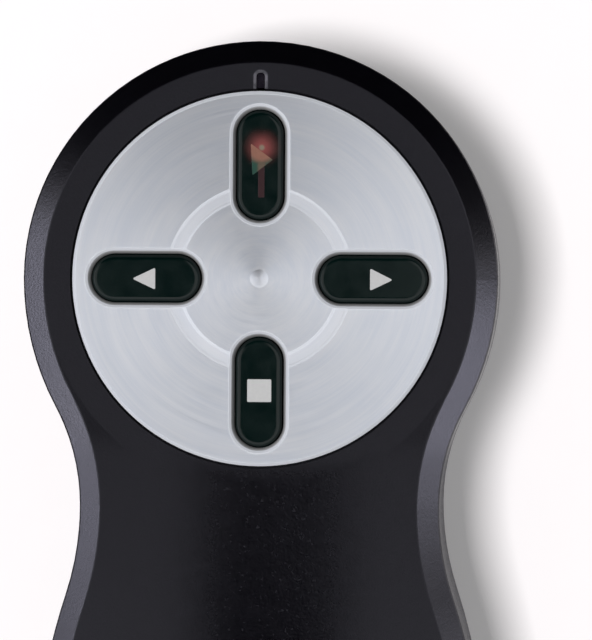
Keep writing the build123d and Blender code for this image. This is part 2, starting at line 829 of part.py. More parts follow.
# ---------------------------------------------------------------- cells and their contacts
def cell(x, base, towards_head):
    """An AAA cell lying along the case, from its flat base to the tip of its nub."""
    along = 1 if towards_head else -1
    with BuildPart() as can:
        with BuildSketch(upright(base)):
            with Locations((-x, cell_height)):
                Circle(cell_radius)
        extrude(amount=along * (cell_length - cell_nub_length))
        chamfer(can.edges().filter_by(GeomType.CIRCLE), cell_bevel)
        with BuildSketch(upright(base + along * (cell_length - cell_nub_length))):
            with Locations((-x, cell_height)):
                Circle(cell_nub_radius)
        extrude(amount=along * cell_nub_length)
    return can.part


def contact_plate(x, y, width):
    """A sprung-steel contact plate that stands against an end wall of the bay."""
    with BuildPart() as plate:
        with BuildSketch(upright(y)):
            with Locations((-x, cell_height)):
                RectangleRounded(width, 2 * (cell_radius - contact_end_margin), contact_round)
        extrude(amount=contact_thickness)
    return plate.part


def contact_spring(x, start):
    """A coil of round wire between a contact plate and the base of a cell."""
    rise = spring_length - 2 * spring_wire_radius
    with BuildPart() as coil:
        with BuildLine():
            wire = Helix(
                pitch=rise / spring_turns,
                height=rise,
                radius=spring_radius,
                center=(x, start + spring_wire_radius, cell_height),
                direction=(0, 1, 0),
            )
        with BuildSketch(Plane(origin=wire @ 0, z_dir=wire % 0)):
            RegularPolygon(spring_wire_radius, spring_sides)
        sweep(is_frenet=True)
    return coil.part


cell_x = cell_spacing / 2
contact_width = 2 * (cell_radius - contact_side_margin)
cell_pieces = {
    "battery_left": cell(-cell_x, bay_head - contact_thickness - cell_length, True),
    "battery_right": cell(cell_x, bay_tail + contact_thickness + cell_length, False),
    "contact_positive": contact_plate(-cell_x, bay_head - contact_thickness, contact_width),
    "contact_negative": contact_plate(cell_x, bay_head - contact_thickness, contact_width),
    "contact_bridge": contact_plate(0, bay_tail, cell_spacing + contact_width),
    "spring_left": contact_spring(-cell_x, bay_tail + contact_thickness),
    "spring_right": contact_spring(cell_x, bay_head - contact_thickness - spring_length),
}
for name, piece in cell_pieces.items():
    piece.label = name
    export_step(piece, f"parts/{name}.step")


# ---------------------------------------------------------------- receiver
with BuildPart() as receiver_body:
    with BuildSketch(upright(receiver_tail)):
        with Locations((0, receiver_height)):
            RectangleRounded(receiver_width, receiver_thickness, receiver_round)
    extrude(amount=receiver_body_length)
    with BuildSketch(upright(receiver_tail)):
        with Locations((0, receiver_height)):
            Rectangle(receiver_width - 2 * receiver_wall, receiver_thickness - 2 * receiver_wall)
    extrude(amount=receiver_body_length - receiver_wall, mode=Mode.SUBTRACT)
    with BuildSketch(upright(receiver_tail)):
        with Locations((0, receiver_height)):
            Rectangle(plug_width + fit_gap, plug_height + fit_gap)
    extrude(amount=receiver_body_length, mode=Mode.SUBTRACT)
receiver_body.part.label = "receiver_body"
export_step(receiver_body.part, "parts/receiver_body.step")

with BuildPart() as receiver_cap:
    with BuildSketch(upright(tail_y)):
        with Locations((0, receiver_height)):
            RectangleRounded(receiver_width, receiver_thickness, receiver_round)
    extrude(amount=receiver_cap_length)
    with BuildSketch(level(0)):
        add(case_outline)
    extrude(amount=tall, mode=Mode.INTERSECT)
    # Groove for a fingernail across the upper side
    with BuildSketch(upright(tail_y + receiver_cap_length / 2)):
        with Locations((0, receiver_bottom + receiver_thickness)):
            Rectangle(receiver_width, 2 * nail_groove_depth)
    extrude(amount=nail_groove_width, mode=Mode.SUBTRACT)
receiver_cap.part.label = "receiver_cap"
export_step(receiver_cap.part, "parts/receiver_cap.step")

with BuildPart() as receiver_plug:
    with BuildSketch(upright(receiver_head - plug_root)):
        with Locations((0, receiver_height)):
            RectangleRounded(plug_width, plug_height, plug_round)
            Rectangle(plug_width - 2 * plug_wall, plug_height - 2 * plug_wall, mode=Mode.SUBTRACT)
    extrude(amount=plug_length + plug_root)
    with BuildSketch(level(0)):
        with Locations((0, plug_tip - plug_hole_setback)):
            with GridLocations(plug_hole_spacing, 0, 2, 1):
                Rectangle(plug_hole_size, plug_hole_size)
    extrude(amount=tall, mode=Mode.SUBTRACT)
receiver_plug.part.label = "receiver_plug"
export_step(receiver_plug.part, "parts/receiver_plug.step")

blade_bottom = receiver_height - plug_height / 2 + plug_wall + fit_gap
with BuildPart() as receiver_blade:
    with BuildSketch(upright(receiver_head - plug_root)):
        with Locations((0, blade_bottom + blade_thickness / 2)):
            Rectangle(plug_width - 2 * plug_wall - 2 * fit_gap, blade_thickness)
    extrude(amount=plug_length + plug_root - blade_setback)
receiver_blade.part.label = "receiver_blade"
export_step(receiver_blade.part, "parts/receiver_blade.step")

with BuildPart() as receiver_fingers:
    with BuildSketch(level(blade_bottom + blade_thickness)):
        with Locations((0, plug_tip - blade_setback - finger_setback - finger_length / 2)):
            with GridLocations(inner_finger_spacing, 0, 2, 1):
                Rectangle(finger_width, finger_length)
            with GridLocations(outer_finger_spacing, 0, 2, 1):
                Rectangle(finger_width, finger_length)
    extrude(amount=finger_thickness)
receiver_fingers.part.label = "receiver_fingers"
export_step(receiver_fingers.part, "parts/receiver_fingers.step")

with BuildPart() as receiver_board:
    with BuildSketch(upright(receiver_head - plug_root - receiver_board_length)):
        with Locations((0, blade_bottom + receiver_board_thickness / 2)):
            Rectangle(receiver_width - 2 * receiver_wall - 2 * fit_gap, receiver_board_thickness)
    extrude(amount=receiver_board_length)
receiver_board.part.label = "receiver_board"
export_step(receiver_board.part, "parts/receiver_board.step")


# ---------------------------------------------------------------- screws
with BuildPart() as case_screws:
    with BuildSketch(level(screw_head_depth - screw_head_height)):
        with Locations(head_screws + tail_screws):
            Circle(screw_head_radius)
    extrude(amount=screw_head_height)
    with BuildSketch(level(screw_head_depth)):
        with Locations(head_screws):
            Circle(screw_radius)
    extrude(amount=board_top + screw_grip - 2 * fit_gap - screw_head_depth)
    with BuildSketch(level(screw_head_depth)):
        with Locations(tail_screws):
            Circle(screw_radius)
    extrude(amount=parting_height + screw_grip - screw_head_depth)
    with BuildSketch(level(screw_head_depth - screw_head_height)):
        with Locations(head_screws + tail_screws):
            Rectangle(cross_length, cross_width)
            Rectangle(cross_width, cross_length)
    extrude(amount=cross_depth, mode=Mode.SUBTRACT)
case_screws.part.label = "case_screws"
export_step(case_screws.part, "parts/case_screws.step")
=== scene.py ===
from math import radians, sin, cos, pi

import bpy
import numpy as np
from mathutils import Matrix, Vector


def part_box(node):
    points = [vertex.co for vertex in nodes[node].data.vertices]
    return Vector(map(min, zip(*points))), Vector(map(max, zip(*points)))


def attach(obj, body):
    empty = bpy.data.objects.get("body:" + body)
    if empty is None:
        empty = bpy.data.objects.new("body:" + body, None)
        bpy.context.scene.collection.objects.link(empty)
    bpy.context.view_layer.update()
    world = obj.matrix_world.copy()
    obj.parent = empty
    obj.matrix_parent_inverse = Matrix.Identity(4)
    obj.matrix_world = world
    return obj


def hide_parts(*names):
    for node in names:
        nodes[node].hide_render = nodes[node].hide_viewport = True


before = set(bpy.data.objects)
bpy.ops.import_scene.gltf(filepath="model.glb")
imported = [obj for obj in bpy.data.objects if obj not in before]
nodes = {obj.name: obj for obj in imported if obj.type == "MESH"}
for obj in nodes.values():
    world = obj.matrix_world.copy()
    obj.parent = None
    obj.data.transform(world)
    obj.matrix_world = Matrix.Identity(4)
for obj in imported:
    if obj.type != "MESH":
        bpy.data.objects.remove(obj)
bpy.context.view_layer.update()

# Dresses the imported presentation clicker: a finish for every node, then its coiled springs and printed marks,
# and last the studio with its lamps and camera
MM = 0.001

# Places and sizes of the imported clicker, in metres
plate_low, plate_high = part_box("faceplate")
plate_x = (plate_low.x + plate_high.x) / 2
plate_y = (plate_low.y + plate_high.y) / 2
plate_top = plate_high.z
plate_radius = (plate_high.x - plate_low.x) / 2
plate_proud = 0.2 * MM
face_top = plate_top - plate_proud
button_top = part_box("button_laser")[1].z

# The faceplate's four slots, its ring groove and its pip, by their distances from its centre
slot_middle = 10.0 * MM
slot_straight = 2.75 * MM
slot_half_width = 2.4 * MM
ring_reach = 7.625 * MM
pip_reach = 0.8 * MM

# The head's bevel, from the faceplate's centre, and the dish beside the indicator lens, from the plate's edge
bevel_reach = 19.0 * MM
dish_half_width = 0.83 * MM
dish_start, dish_end = 0.1 * MM, 2.0 * MM

# The red dot printed on the laser button
laser_dot = (plate_x + 0.155 * MM, plate_y + 11.52 * MM, button_top)

WHITE = (1.0, 1.0, 1.0)
BLACK = (0.0, 0.0, 0.0)


# ---------------------------------------------------------------- meshes
def band_faces(rows, columns):
    """Quads between neighbouring rows of points, where the last column of a row meets its first."""
    row = np.arange(rows - 1)[:, None] * columns
    column = np.arange(columns)[None, :]
    after = (column + 1) % columns
    quads = np.stack([row + column, row + after, row + columns + after, row + columns + column], axis=-1)
    return quads.reshape(-1, 4)


def make_piece(name, points, quads, triangles=None, smooth=True):
    """A mesh object at the origin from whole arrays of points in metres, quads and triangles."""
    triangles = np.zeros((0, 3), int) if triangles is None else np.asarray(triangles, int)
    mesh = bpy.data.meshes.new(name)
    mesh.vertices.add(len(points))
    mesh.vertices.foreach_set("co", np.asarray(points, float).reshape(-1))
    corners = np.concatenate([quads.reshape(-1), triangles.reshape(-1)])
    sizes = np.concatenate([np.full(len(quads), 4), np.full(len(triangles), 3)])
    starts = np.concatenate([[0], np.cumsum(sizes)[:-1]])
    mesh.loops.add(len(corners))
    mesh.loops.foreach_set("vertex_index", corners)
    mesh.polygons.add(len(sizes))
    mesh.polygons.foreach_set("loop_start", starts)
    mesh.update(calc_edges=True)
    mesh.polygons.foreach_set("use_smooth", np.full(len(sizes), smooth))
    mesh.validate()
    piece = bpy.data.objects.new(name, mesh)
    bpy.context.scene.collection.objects.link(piece)
    return piece


def closing_fan(rim, centre, turned=False):
    """Triangles from a closed rim of points to one centre point. Turned ones face the other way."""
    ahead = np.roll(rim, -1)
    first, second = (ahead, rim) if turned else (rim, ahead)
    return np.stack([first, second, np.full(len(rim), centre)], axis=1)


# ---------------------------------------------------------------- shader nodes
def colour(value):
    """A colour with its alpha, or a socket as it is."""
    if isinstance(value, bpy.types.NodeSocket):
        return value
    return (*value, 1.0)


class ShaderNodes:
    """The nodes of one shader tree. Each call adds a node and hands back the socket that the next reads."""

    def __init__(self, tree):
        self.tree = tree
        self.tree.nodes.clear()

    def node(self, kind, inputs=(), **settings):
        """One node with its settings, and its inputs set to numbers or linked to sockets."""
        node = self.tree.nodes.new("ShaderNode" + kind)
        for key, value in settings.items():
            setattr(node, key, value)
        for key, value in dict(inputs).items():
            if isinstance(value, bpy.types.NodeSocket):
                self.tree.links.new(value, node.inputs[key])
            else:
                node.inputs[key].default_value = value
        return node

    def add(self, kind, inputs=(), out=0, **settings):
        """One node, of which only the output asked for is read."""
        return self.node(kind, inputs, **settings).outputs[out]

    def math(self, operation, *values):
        """The values joined by one operation, such as ADD or MAXIMUM."""
        return self.add("Math", enumerate(values), operation=operation)

    def largest(self, first, *others):
        """The largest of the values."""
        for value in others:
            first = self.math("MAXIMUM", first, value)
        return first

    def away(self, value, middle):
        """How far the value lies from the middle, to either side."""
        return self.math("ABSOLUTE", self.math("SUBTRACT", value, middle))

    def axes(self, vector):
        """The three axes of a vector, each a socket."""
        return self.node("SeparateXYZ", {0: vector}).outputs

    def length(self, vector):
        """The length of a vector."""
        return self.add("VectorMath", {0: vector}, out="Value", operation="LENGTH")

    def noise(self, vector, scale, detail=2.0, roughness=0.5):
        """Soft noise from 0 to 1; a larger scale is finer."""
        inputs = {"Vector": vector, "Scale": scale, "Detail": detail, "Roughness": roughness}
        return self.add("TexNoise", inputs)

    def span(self, value, start, end, low=0.0, high=1.0, blend="SMOOTHSTEP"):
        """The value carried from start..end to low..high, and held at low and high outside it."""
        return self.add("MapRange", {0: value, 1: start, 2: end, 3: low, 4: high}, interpolation_type=blend)

    def even_span(self, value, start, end, low, high):
        """As span, but along a straight line."""
        return self.span(value, start, end, low, high, "LINEAR")

    def band(self, value, rise_start, rise_end, fall_start, fall_end, top=1.0):
        """The top value inside a band, 0 outside it, with soft edges where it rises and falls."""
        return self.math("MULTIPLY", self.span(value, rise_start, rise_end),
                         self.span(value, fall_start, fall_end, top, 0.0))

    def mix(self, share, first, second):
        """A colour between the first and the second."""
        return self.add("Mix", {0: share, 6: colour(first), 7: colour(second)}, out=2, data_type="RGBA")

    def blend(self, share, first, second):
        """A number between the first and the second."""
        return self.add("Mix", {0: share, 2: first, 3: second})

    def seen(self):
        """1 for a ray from the camera, off gloss or metal, or through glass, and 0 for light on matt ones."""
        path = self.node("LightPath").outputs
        return self.largest(path["Is Camera Ray"], path["Is Glossy Ray"], path["Is Transmission Ray"])


class Finish(ShaderNodes):
    """One procedural finish on Object coordinates."""

    def __init__(self, name):
        self.material = bpy.data.materials.new(name)
        self.material.use_nodes = True
        super().__init__(self.material.node_tree)
        self.place = self.add("TexCoord", out="Object")

    def about(self, centre, scale=(1, 1, 1)):
        """Object coordinates moved so that the centre is at zero, then scaled."""
        moved = self.add("Mapping", {"Vector": self.place, "Location": [-c for c in centre]})
        return self.add("Mapping", {"Vector": moved, "Scale": scale})

    def bump(self, height, depth, strength):
        """A surface normal roughened by the height, which stands for the depth in metres."""
        return self.add("Bump", {"Height": height, "Distance": depth, "Strength": strength})

    def close(self, surface):
        """Joins the surface to the material's output and hands back the material."""
        self.node("OutputMaterial", {"Surface": surface})
        return self.material

    def done(self, **sockets):
        """Closes the finish with its shader, whose sockets are given by their names."""
        inputs = {}
        for key, value in sockets.items():
            socket = key.replace("_", " ").title().replace("Ior", "IOR")
            inputs[socket] = colour(value) if "Color" in socket or "Tint" in socket else value
        return self.close(self.add("BsdfPrincipled", inputs))


# ---------------------------------------------------------------- finishes
def soft_black():
    """Moulded black plastic with a fine grain. It is matt on the head and towards the handle's sides, and
    glossier down the spine of the handle, where single grains catch the light as specks. The bevel round the
    shell and the rim of the head have an even gloss. The dish beside the indicator lens is painted a speckled
    grey, a painted highlight for the light that its sides catch."""
    spine_x, spine_glossy, spine_matt = 1.3 * MM, 2.0 * MM, 13.2 * MM
    f = Finish("moulded_black")
    grain = f.noise(f.place, scale=4200, detail=3.0, roughness=0.6)
    mottle = f.noise(f.place, scale=750, detail=4.0, roughness=0.55)
    x, y, z = f.axes(f.place)
    off_spine = f.span(f.away(x, spine_x), spine_glossy, spine_matt)
    head = f.span(y, plate_y - 18.6 * MM, plate_y - 13.4 * MM)
    underside = f.span(z, 9 * MM, 14 * MM, 1.0, 0.0)
    matt = f.largest(off_spine, head, underside)
    uneven = f.math("MULTIPLY_ADD", mottle, 0.2, f.math("MULTIPLY_ADD", grain, 0.35, matt))
    face_rough = f.even_span(uneven, 0.175, 1.375, 0.16, 0.60)
    speck_rough = f.span(f.noise(f.place, scale=3000, detail=2.0, roughness=0.55), 0.45, 0.85, 0.0, 0.48)
    rough = f.math("MAXIMUM", face_rough, speck_rough)

    upright = f.axes(f.add("TexCoord", out="Normal"))[2]
    bevel = f.band(upright, 0.45, 0.58, 0.82, 0.92)
    rough = f.blend(bevel, rough, 0.38)
    reach = f.length(f.about((plate_x, plate_y, 0), scale=(1, 1, 0)))
    rim = f.math("MULTIPLY", f.span(reach, bevel_reach - 0.15 * MM, bevel_reach + 0.15 * MM),
                 f.span(y, plate_y - 17 * MM, plate_y - 13 * MM))
    rough = f.blend(rim, rough, 0.30)

    across = f.span(f.math("ABSOLUTE", x), dish_half_width - 0.03 * MM, dish_half_width + 0.03 * MM, 1.0, 0.0)
    off_plate = f.math("SUBTRACT", y, plate_y + plate_radius)
    along = f.band(off_plate, dish_start - 0.05 * MM, dish_start + 0.05 * MM,
                   dish_end - 0.05 * MM, dish_end + 0.05 * MM)
    depth = f.math("SUBTRACT", face_top, z)
    sunk = f.band(depth, 0.015 * MM, 0.05 * MM, 0.21 * MM, 0.26 * MM)
    in_dish = f.math("MULTIPLY", f.math("MULTIPLY", across, along), sunk)
    # Painted highlight: the dish is lighter grey than the black round it, for the light its sides catch
    dish_painted_highlight = f.mix(f.span(mottle, 0.42, 0.58), (0.036, 0.036, 0.041), (0.105, 0.10, 0.115))
    tone = f.mix(mottle, (0.0007, 0.0006, 0.0012), (0.0018, 0.0016, 0.0028))
    tone = f.mix(in_dish, tone, dish_painted_highlight)

    normal = f.bump(f.math("MULTIPLY_ADD", mottle, 0.6, grain), 0.03 * MM, 0.5)
    return f.done(base_color=tone, roughness=rough, normal=normal, specular_ior_level=0.47,
                  specular_tint=(0.88, 0.87, 1.0))


def spun_aluminium():
    """Spun and clear anodised aluminium, with fine and wide rings round its centre and faint clouding.
    The rings are noise that reads the direction from the centre weakly and the distance from it strongly.
    The slots' bevels, the rim and the ring groove are etched matt, and the slots' walls are a matt grey that is
    painted darker with depth, a painted shade for the light that falls off down the slot.
    The face catches the light as a very shallow cone that rises to a round pip."""
    f = Finish("spun_aluminium")
    centred = f.about((plate_x, plate_y, plate_top))
    x, y, z = f.axes(centred)
    reach = f.length(centred)
    around_x = f.math("DIVIDE", x, reach)
    around_y = f.math("DIVIDE", y, reach)

    def ring_noise(along_ring, across_rings, detail, roughness):
        """Noise that changes slowly along a ring and quickly from one ring to the next."""
        place = f.add("CombineXYZ", {0: f.math("MULTIPLY", around_x, along_ring),
                                     1: f.math("MULTIPLY", around_y, along_ring),
                                     2: f.math("MULTIPLY", reach, across_rings)})
        return f.noise(place, scale=1.0, detail=detail, roughness=roughness)

    rings = ring_noise(1.6, 5200, detail=3.0, roughness=0.7)
    wide_rings = ring_noise(1.1, 700, detail=2.0, roughness=0.6)
    cloud = f.noise(centred, scale=160, detail=3.0)
    streak = f.math("ADD", f.math("MULTIPLY", rings, 0.5), f.math("MULTIPLY", wide_rings, 0.5))
    tone = f.mix(f.span(streak, 0.3, 0.7), (0.81, 0.85, 0.94), (0.91, 0.93, 0.99))
    tone = f.mix(f.span(cloud, 0.35, 0.7, 0.0, 0.25), tone, (0.95, 0.96, 0.985))

    across = f.math("ABSOLUTE", x)
    along = f.math("ABSOLUTE", y)
    past_straight = f.math("SUBTRACT", f.away(f.math("MAXIMUM", across, along), slot_middle), slot_straight)
    off_slot = f.length(f.add("CombineXYZ", {0: f.math("MAXIMUM", past_straight, 0.0),
                                             1: f.math("MINIMUM", across, along)}))
    slot_bevel = f.span(off_slot, slot_half_width + 0.20 * MM, slot_half_width + 0.33 * MM, 1.0, 0.0)
    rim_bevel = f.span(reach, plate_radius - 0.34 * MM, plate_radius - 0.22 * MM)
    off_ring = f.away(reach, ring_reach)
    ring_floor = f.span(off_ring, 0.52 * MM, 0.74 * MM, 0.32, 0.0)
    ring_slopes = f.band(off_ring, 0.42 * MM, 0.52 * MM, 0.60 * MM, 0.70 * MM, top=0.62)
    edge = f.largest(slot_bevel, rim_bevel, ring_floor, ring_slopes)

    depth = f.math("MULTIPLY", z, -1.0)
    wall = f.span(depth, 0.23 * MM, 0.32 * MM)
    # Painted shade: the walls' grey is darker the deeper it lies in the slot
    wall_grey_and_painted_shade = f.mix(f.span(depth, 0.3 * MM, 1.1 * MM), (0.78, 0.78, 0.80), (0.40, 0.40, 0.41))
    tone = f.mix(edge, tone, (0.70, 0.72, 0.775))
    tone = f.mix(wall, tone, wall_grey_and_painted_shade)
    rough = f.blend(edge, f.even_span(rings, 0.25, 0.75, 0.40, 0.50), 0.75)
    metal = f.even_span(edge, 0.0, 1.0, 1.0, 0.10)

    cone_slope, pip_swell = 0.07, 3100.0
    within_pip = f.math("MINIMUM", reach, pip_reach)
    fall = f.math("MULTIPLY_ADD", f.math("MULTIPLY", within_pip, within_pip), pip_swell, reach)
    cone = f.add("Bump", {"Height": fall, "Distance": cone_slope, "Strength": 1.0}, invert=True)
    normal = f.add("Bump", {"Height": rings, "Distance": 0.004 * MM, "Strength": 0.35, "Normal": cone})
    tangent = f.add("Tangent", direction_type="RADIAL", axis="Z")
    return f.done(base_color=tone, metallic=metal, roughness=rough, normal=normal, tangent=tangent,
                  anisotropic=0.25, anisotropic_rotation=0.25)


def smoked_button(name, print_red=False):
    """Smoked black gloss of a button, matt on its rounded edge. The laser button has a red print that fades
    out from a pale dot."""
    f = Finish(name)
    cloud = f.noise(f.place, scale=700)
    tone = f.mix(cloud, (0.0003, 0.0042, 0.0038), (0.0007, 0.0058, 0.0053))
    if print_red:
        reach = f.length(f.about(laser_dot, scale=(1, 1, 0)))
        wobble = f.math("MULTIPLY_ADD", f.noise(f.place, scale=1500), 0.2 * MM, reach)
        glow = f.math("POWER", f.span(wobble, 0.1 * MM, 2.25 * MM, 1.0, 0.0), 1.7)
        tone = f.mix(glow, tone, (0.225, 0.062, 0.060))
        tone = f.mix(f.span(reach, 0.12 * MM, 0.34 * MM, 1.0, 0.0), tone, (0.20, 0.16, 0.12))
    z = f.axes(f.place)[2]
    rounding = f.span(z, button_top - 0.14 * MM, button_top - 0.01 * MM, 0.75, 0.0)
    rough = f.math("MAXIMUM", rounding, f.even_span(cloud, 0.3, 0.7, 0.16, 0.24))
    normal = f.bump(f.noise(f.place, scale=2600), 0.004 * MM, 0.3)
    return f.done(base_color=tone, roughness=rough, specular_ior_level=0.34, normal=normal)


def screen_ink(name, dark, light, rough=(0.45, 0.6), over_red=None):
    """Screen-printed ink, slightly uneven. With over_red it turns to that pair of warm tones where it lies
    over the laser button's red print, which is near the dot and along the beam below it."""
    f = Finish(name)
    ink = f.noise(f.place, scale=3500, detail=3.0)
    tone = f.mix(ink, dark, light)
    if over_red:
        centred = f.about(laser_dot, scale=(1, 1, 0))
        over_beam = f.span(f.math("ABSOLUTE", f.axes(centred)[0]), 0.2 * MM, 0.5 * MM, 0.38, 0.0)
        over_dot = f.span(f.length(centred), 0.9 * MM, 1.62 * MM, 1.0, 0.0)
        tone = f.mix(f.math("MAXIMUM", over_dot, over_beam), tone, f.mix(ink, *over_red))
    return f.done(base_color=tone, roughness=f.even_span(ink, 0.3, 0.7, *rough),
                  normal=f.bump(ink, 0.004 * MM, 0.4))


def moulded(name, dark, light, rough=(0.5, 0.65), scale=3000):
    """Plain moulded plastic with a fine grain and faint clouding."""
    f = Finish(name)
    grain = f.noise(f.place, scale=scale, detail=3.0, roughness=0.6)
    cloud = f.noise(f.place, scale=scale / 8, detail=3.0)
    return f.done(base_color=f.mix(cloud, dark, light), roughness=f.even_span(grain, 0.3, 0.7, *rough),
                  specular_ior_level=0.4, normal=f.bump(grain, 0.02 * MM, 0.35))


def plated(name, dark, light, rough=(0.2, 0.35), squeeze=(1, 1, 1), scale=2500):
    """Plated or bare metal with fine lines, which run along the axis with the smallest squeeze."""
    f = Finish(name)
    lines = f.noise(f.about((0, 0, 0), scale=squeeze), scale=scale, detail=4.0, roughness=0.65)
    cloud = f.noise(f.place, scale=scale / 6, detail=3.0)
    return f.done(base_color=f.mix(cloud, dark, light), metallic=1.0,
                  roughness=f.even_span(lines, 0.3, 0.7, *rough), normal=f.bump(lines, 0.006 * MM, 0.4))


def solder_mask():
    """Green solder mask with tracks under it, which are folded stripes of a cell pattern, and tinned pads,
    which are the cores of another."""
    f = Finish("solder_mask")
    cells = f.add("TexVoronoi", {"Vector": f.place, "Scale": 480.0, "Randomness": 0.9}, out="Distance",
                  distance="CHEBYCHEV")
    x = f.axes(f.place)[0]
    stripes = f.math("PINGPONG", f.math("ADD", cells, f.math("MULTIPLY", x, 260)), 0.22)
    track = f.span(stripes, 0.09, 0.12)
    cores = f.add("TexVoronoi", {"Vector": f.place, "Scale": 330.0}, out="Distance")
    pads = f.span(cores, 0.10, 0.13, 1.0, 0.0)
    tone = f.mix(track, (0.008, 0.075, 0.032), (0.015, 0.13, 0.055))
    tone = f.mix(pads, tone, (0.55, 0.50, 0.38))
    return f.done(base_color=tone, metallic=f.math("MULTIPLY", pads, 0.9),
                  roughness=f.even_span(pads, 0.0, 1.0, 0.28, 0.4),
                  normal=f.bump(f.math("ADD", track, pads), 0.03 * MM, 0.5))


def cell_sleeve(node, towards_head):
    """A dry cell's printed sleeve: graphite with a copper shoulder, and bare steel at both ends. Its positive
    end points towards the head or the tail."""
    low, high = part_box(node)
    minus_y, plus_y = (low.y, high.y) if towards_head else (high.y, low.y)
    f = Finish(node.replace("battery", "cell"))
    along = f.even_span(f.axes(f.place)[1], minus_y, plus_y, 0.0, 1.0)
    brushed = f.noise(f.about((0, 0, 0), scale=(1, 0.05, 1)), scale=3500, detail=3.0)
    graphite = f.mix(brushed, (0.018, 0.019, 0.021), (0.032, 0.033, 0.036))
    copper = f.mix(brushed, (0.45, 0.19, 0.075), (0.56, 0.26, 0.11))
    steel = f.mix(brushed, (0.50, 0.50, 0.51), (0.62, 0.62, 0.63))
    shoulder = f.even_span(along, 0.735, 0.740, 0.0, 1.0)
    ends = f.math("MAXIMUM", f.even_span(along, 0.955, 0.960, 0.0, 1.0),
                  f.even_span(along, 0.012, 0.016, 1.0, 0.0))
    tone = f.mix(ends, f.mix(shoulder, graphite, copper), steel)
    return f.done(base_color=tone, metallic=f.math("MAXIMUM", ends, f.math("MULTIPLY", shoulder, 0.7)),
                  roughness=f.even_span(brushed, 0.3, 0.7, 0.28, 0.42),
                  normal=f.bump(f.math("ADD", ends, f.math("MULTIPLY", brushed, 0.1)), 0.05 * MM, 0.5))


def clear_optic(name, tint, rough=0.02):
    """Clear moulded optic, with the faintest ripple."""
    f = Finish(name)
    ripple = f.noise(f.place, scale=900, detail=1.0)
    return f.done(base_color=f.mix(ripple, tint, [c * 0.94 for c in tint]),
                  roughness=f.even_span(ripple, 0.3, 0.7, rough, rough + 0.03), ior=1.49,
                  transmission_weight=0.9, normal=f.bump(ripple, 0.002 * MM, 0.2))


def smoked_lens():
    """Smoked violet-black lens of the indicator."""
    f = Finish("smoked_lens")
    ripple = f.noise(f.place, scale=1800)
    return f.done(base_color=f.mix(ripple, (0.006, 0.005, 0.008), (0.012, 0.010, 0.015)),
                  roughness=f.even_span(ripple, 0.3, 0.7, 0.08, 0.16), specular_ior_level=0.5,
                  normal=f.bump(ripple, 0.004 * MM, 0.3))


black = soft_black()
smoked = smoked_button("smoked_gloss")
green_board = solder_mask()
spring_metal = plated("nickel_spring", (0.55, 0.55, 0.54), (0.70, 0.69, 0.67), (0.2, 0.32))
finishes = {
    "top_shell": black,
    "bottom_shell": black,
    "battery_door": black,
    "receiver_cap": black,
    "faceplate": spun_aluminium(),
    "button_laser": smoked_button("smoked_gloss_laser", print_red=True),
    "button_forward": smoked,
    "button_back": smoked,
    "button_stop": smoked,
    "indicator_lens": smoked_lens(),
    "laser_window": clear_optic("red_window", (0.22, 0.012, 0.016), 0.04),
    "laser_lens": clear_optic("laser_optic", (0.95, 0.97, 0.98)),
    "laser_barrel": plated("turned_brass", (0.52, 0.36, 0.13), (0.64, 0.46, 0.19), (0.2, 0.32),
                           squeeze=(0.1, 2, 0.1)),
    "circuit_board": green_board,
    "radio_chip": moulded("chip_epoxy", (0.010, 0.010, 0.011), (0.018, 0.018, 0.019), (0.4, 0.55), 5000),
    "crystal": plated("crystal_can", (0.50, 0.50, 0.51), (0.64, 0.64, 0.65), (0.2, 0.32)),
    "capacitors": moulded("fired_ceramic", (0.20, 0.13, 0.07), (0.30, 0.20, 0.12), (0.45, 0.6), 5000),
    "indicator_led": moulded("led_resin", (0.60, 0.58, 0.50), (0.72, 0.70, 0.62), (0.15, 0.3), 5000),
    "battery_chassis": moulded("chassis_grey", (0.030, 0.030, 0.032), (0.045, 0.045, 0.048), (0.5, 0.68)),
    "battery_left": cell_sleeve("battery_left", towards_head=True),
    "battery_right": cell_sleeve("battery_right", towards_head=False),
    "contact_positive": spring_metal,
    "contact_negative": spring_metal,
    "contact_bridge": spring_metal,
    "spring_left": spring_metal,
    "spring_right": spring_metal,
    "case_screws": plated("black_zinc", (0.06, 0.06, 0.065), (0.11, 0.11, 0.12), (0.3, 0.45), scale=4000),
    "receiver_body": moulded("receiver_black", (0.006, 0.0055, 0.007), (0.011, 0.010, 0.013), (0.38, 0.5)),
    "receiver_plug": plated("nickel_shell", (0.56, 0.56, 0.57), (0.70, 0.70, 0.71), (0.2, 0.34),
                            squeeze=(1, 0.06, 1)),
    "receiver_blade": moulded("blade_black", (0.008, 0.008, 0.009), (0.014, 0.014, 0.015), (0.4, 0.55)),
    "receiver_board": green_board,
    "receiver_fingers": plated("gold_fingers", (0.72, 0.48, 0.16), (0.86, 0.62, 0.25), (0.16, 0.28),
                               squeeze=(1, 0.1, 1)),
}
switch_black = moulded("switch_black", (0.014, 0.014, 0.015), (0.022, 0.022, 0.023), scale=4000)
stem_white = moulded("stem_white", (0.55, 0.55, 0.52), (0.64, 0.64, 0.61), scale=4000)
for use in ("laser", "forward", "back", "stop"):
    finishes["switch_" + use] = switch_black
    finishes["stem_" + use] = stem_white

for node, finish in finishes.items():
    slots = nodes[node].data.materials
    slots.clear()
    slots.append(finish)


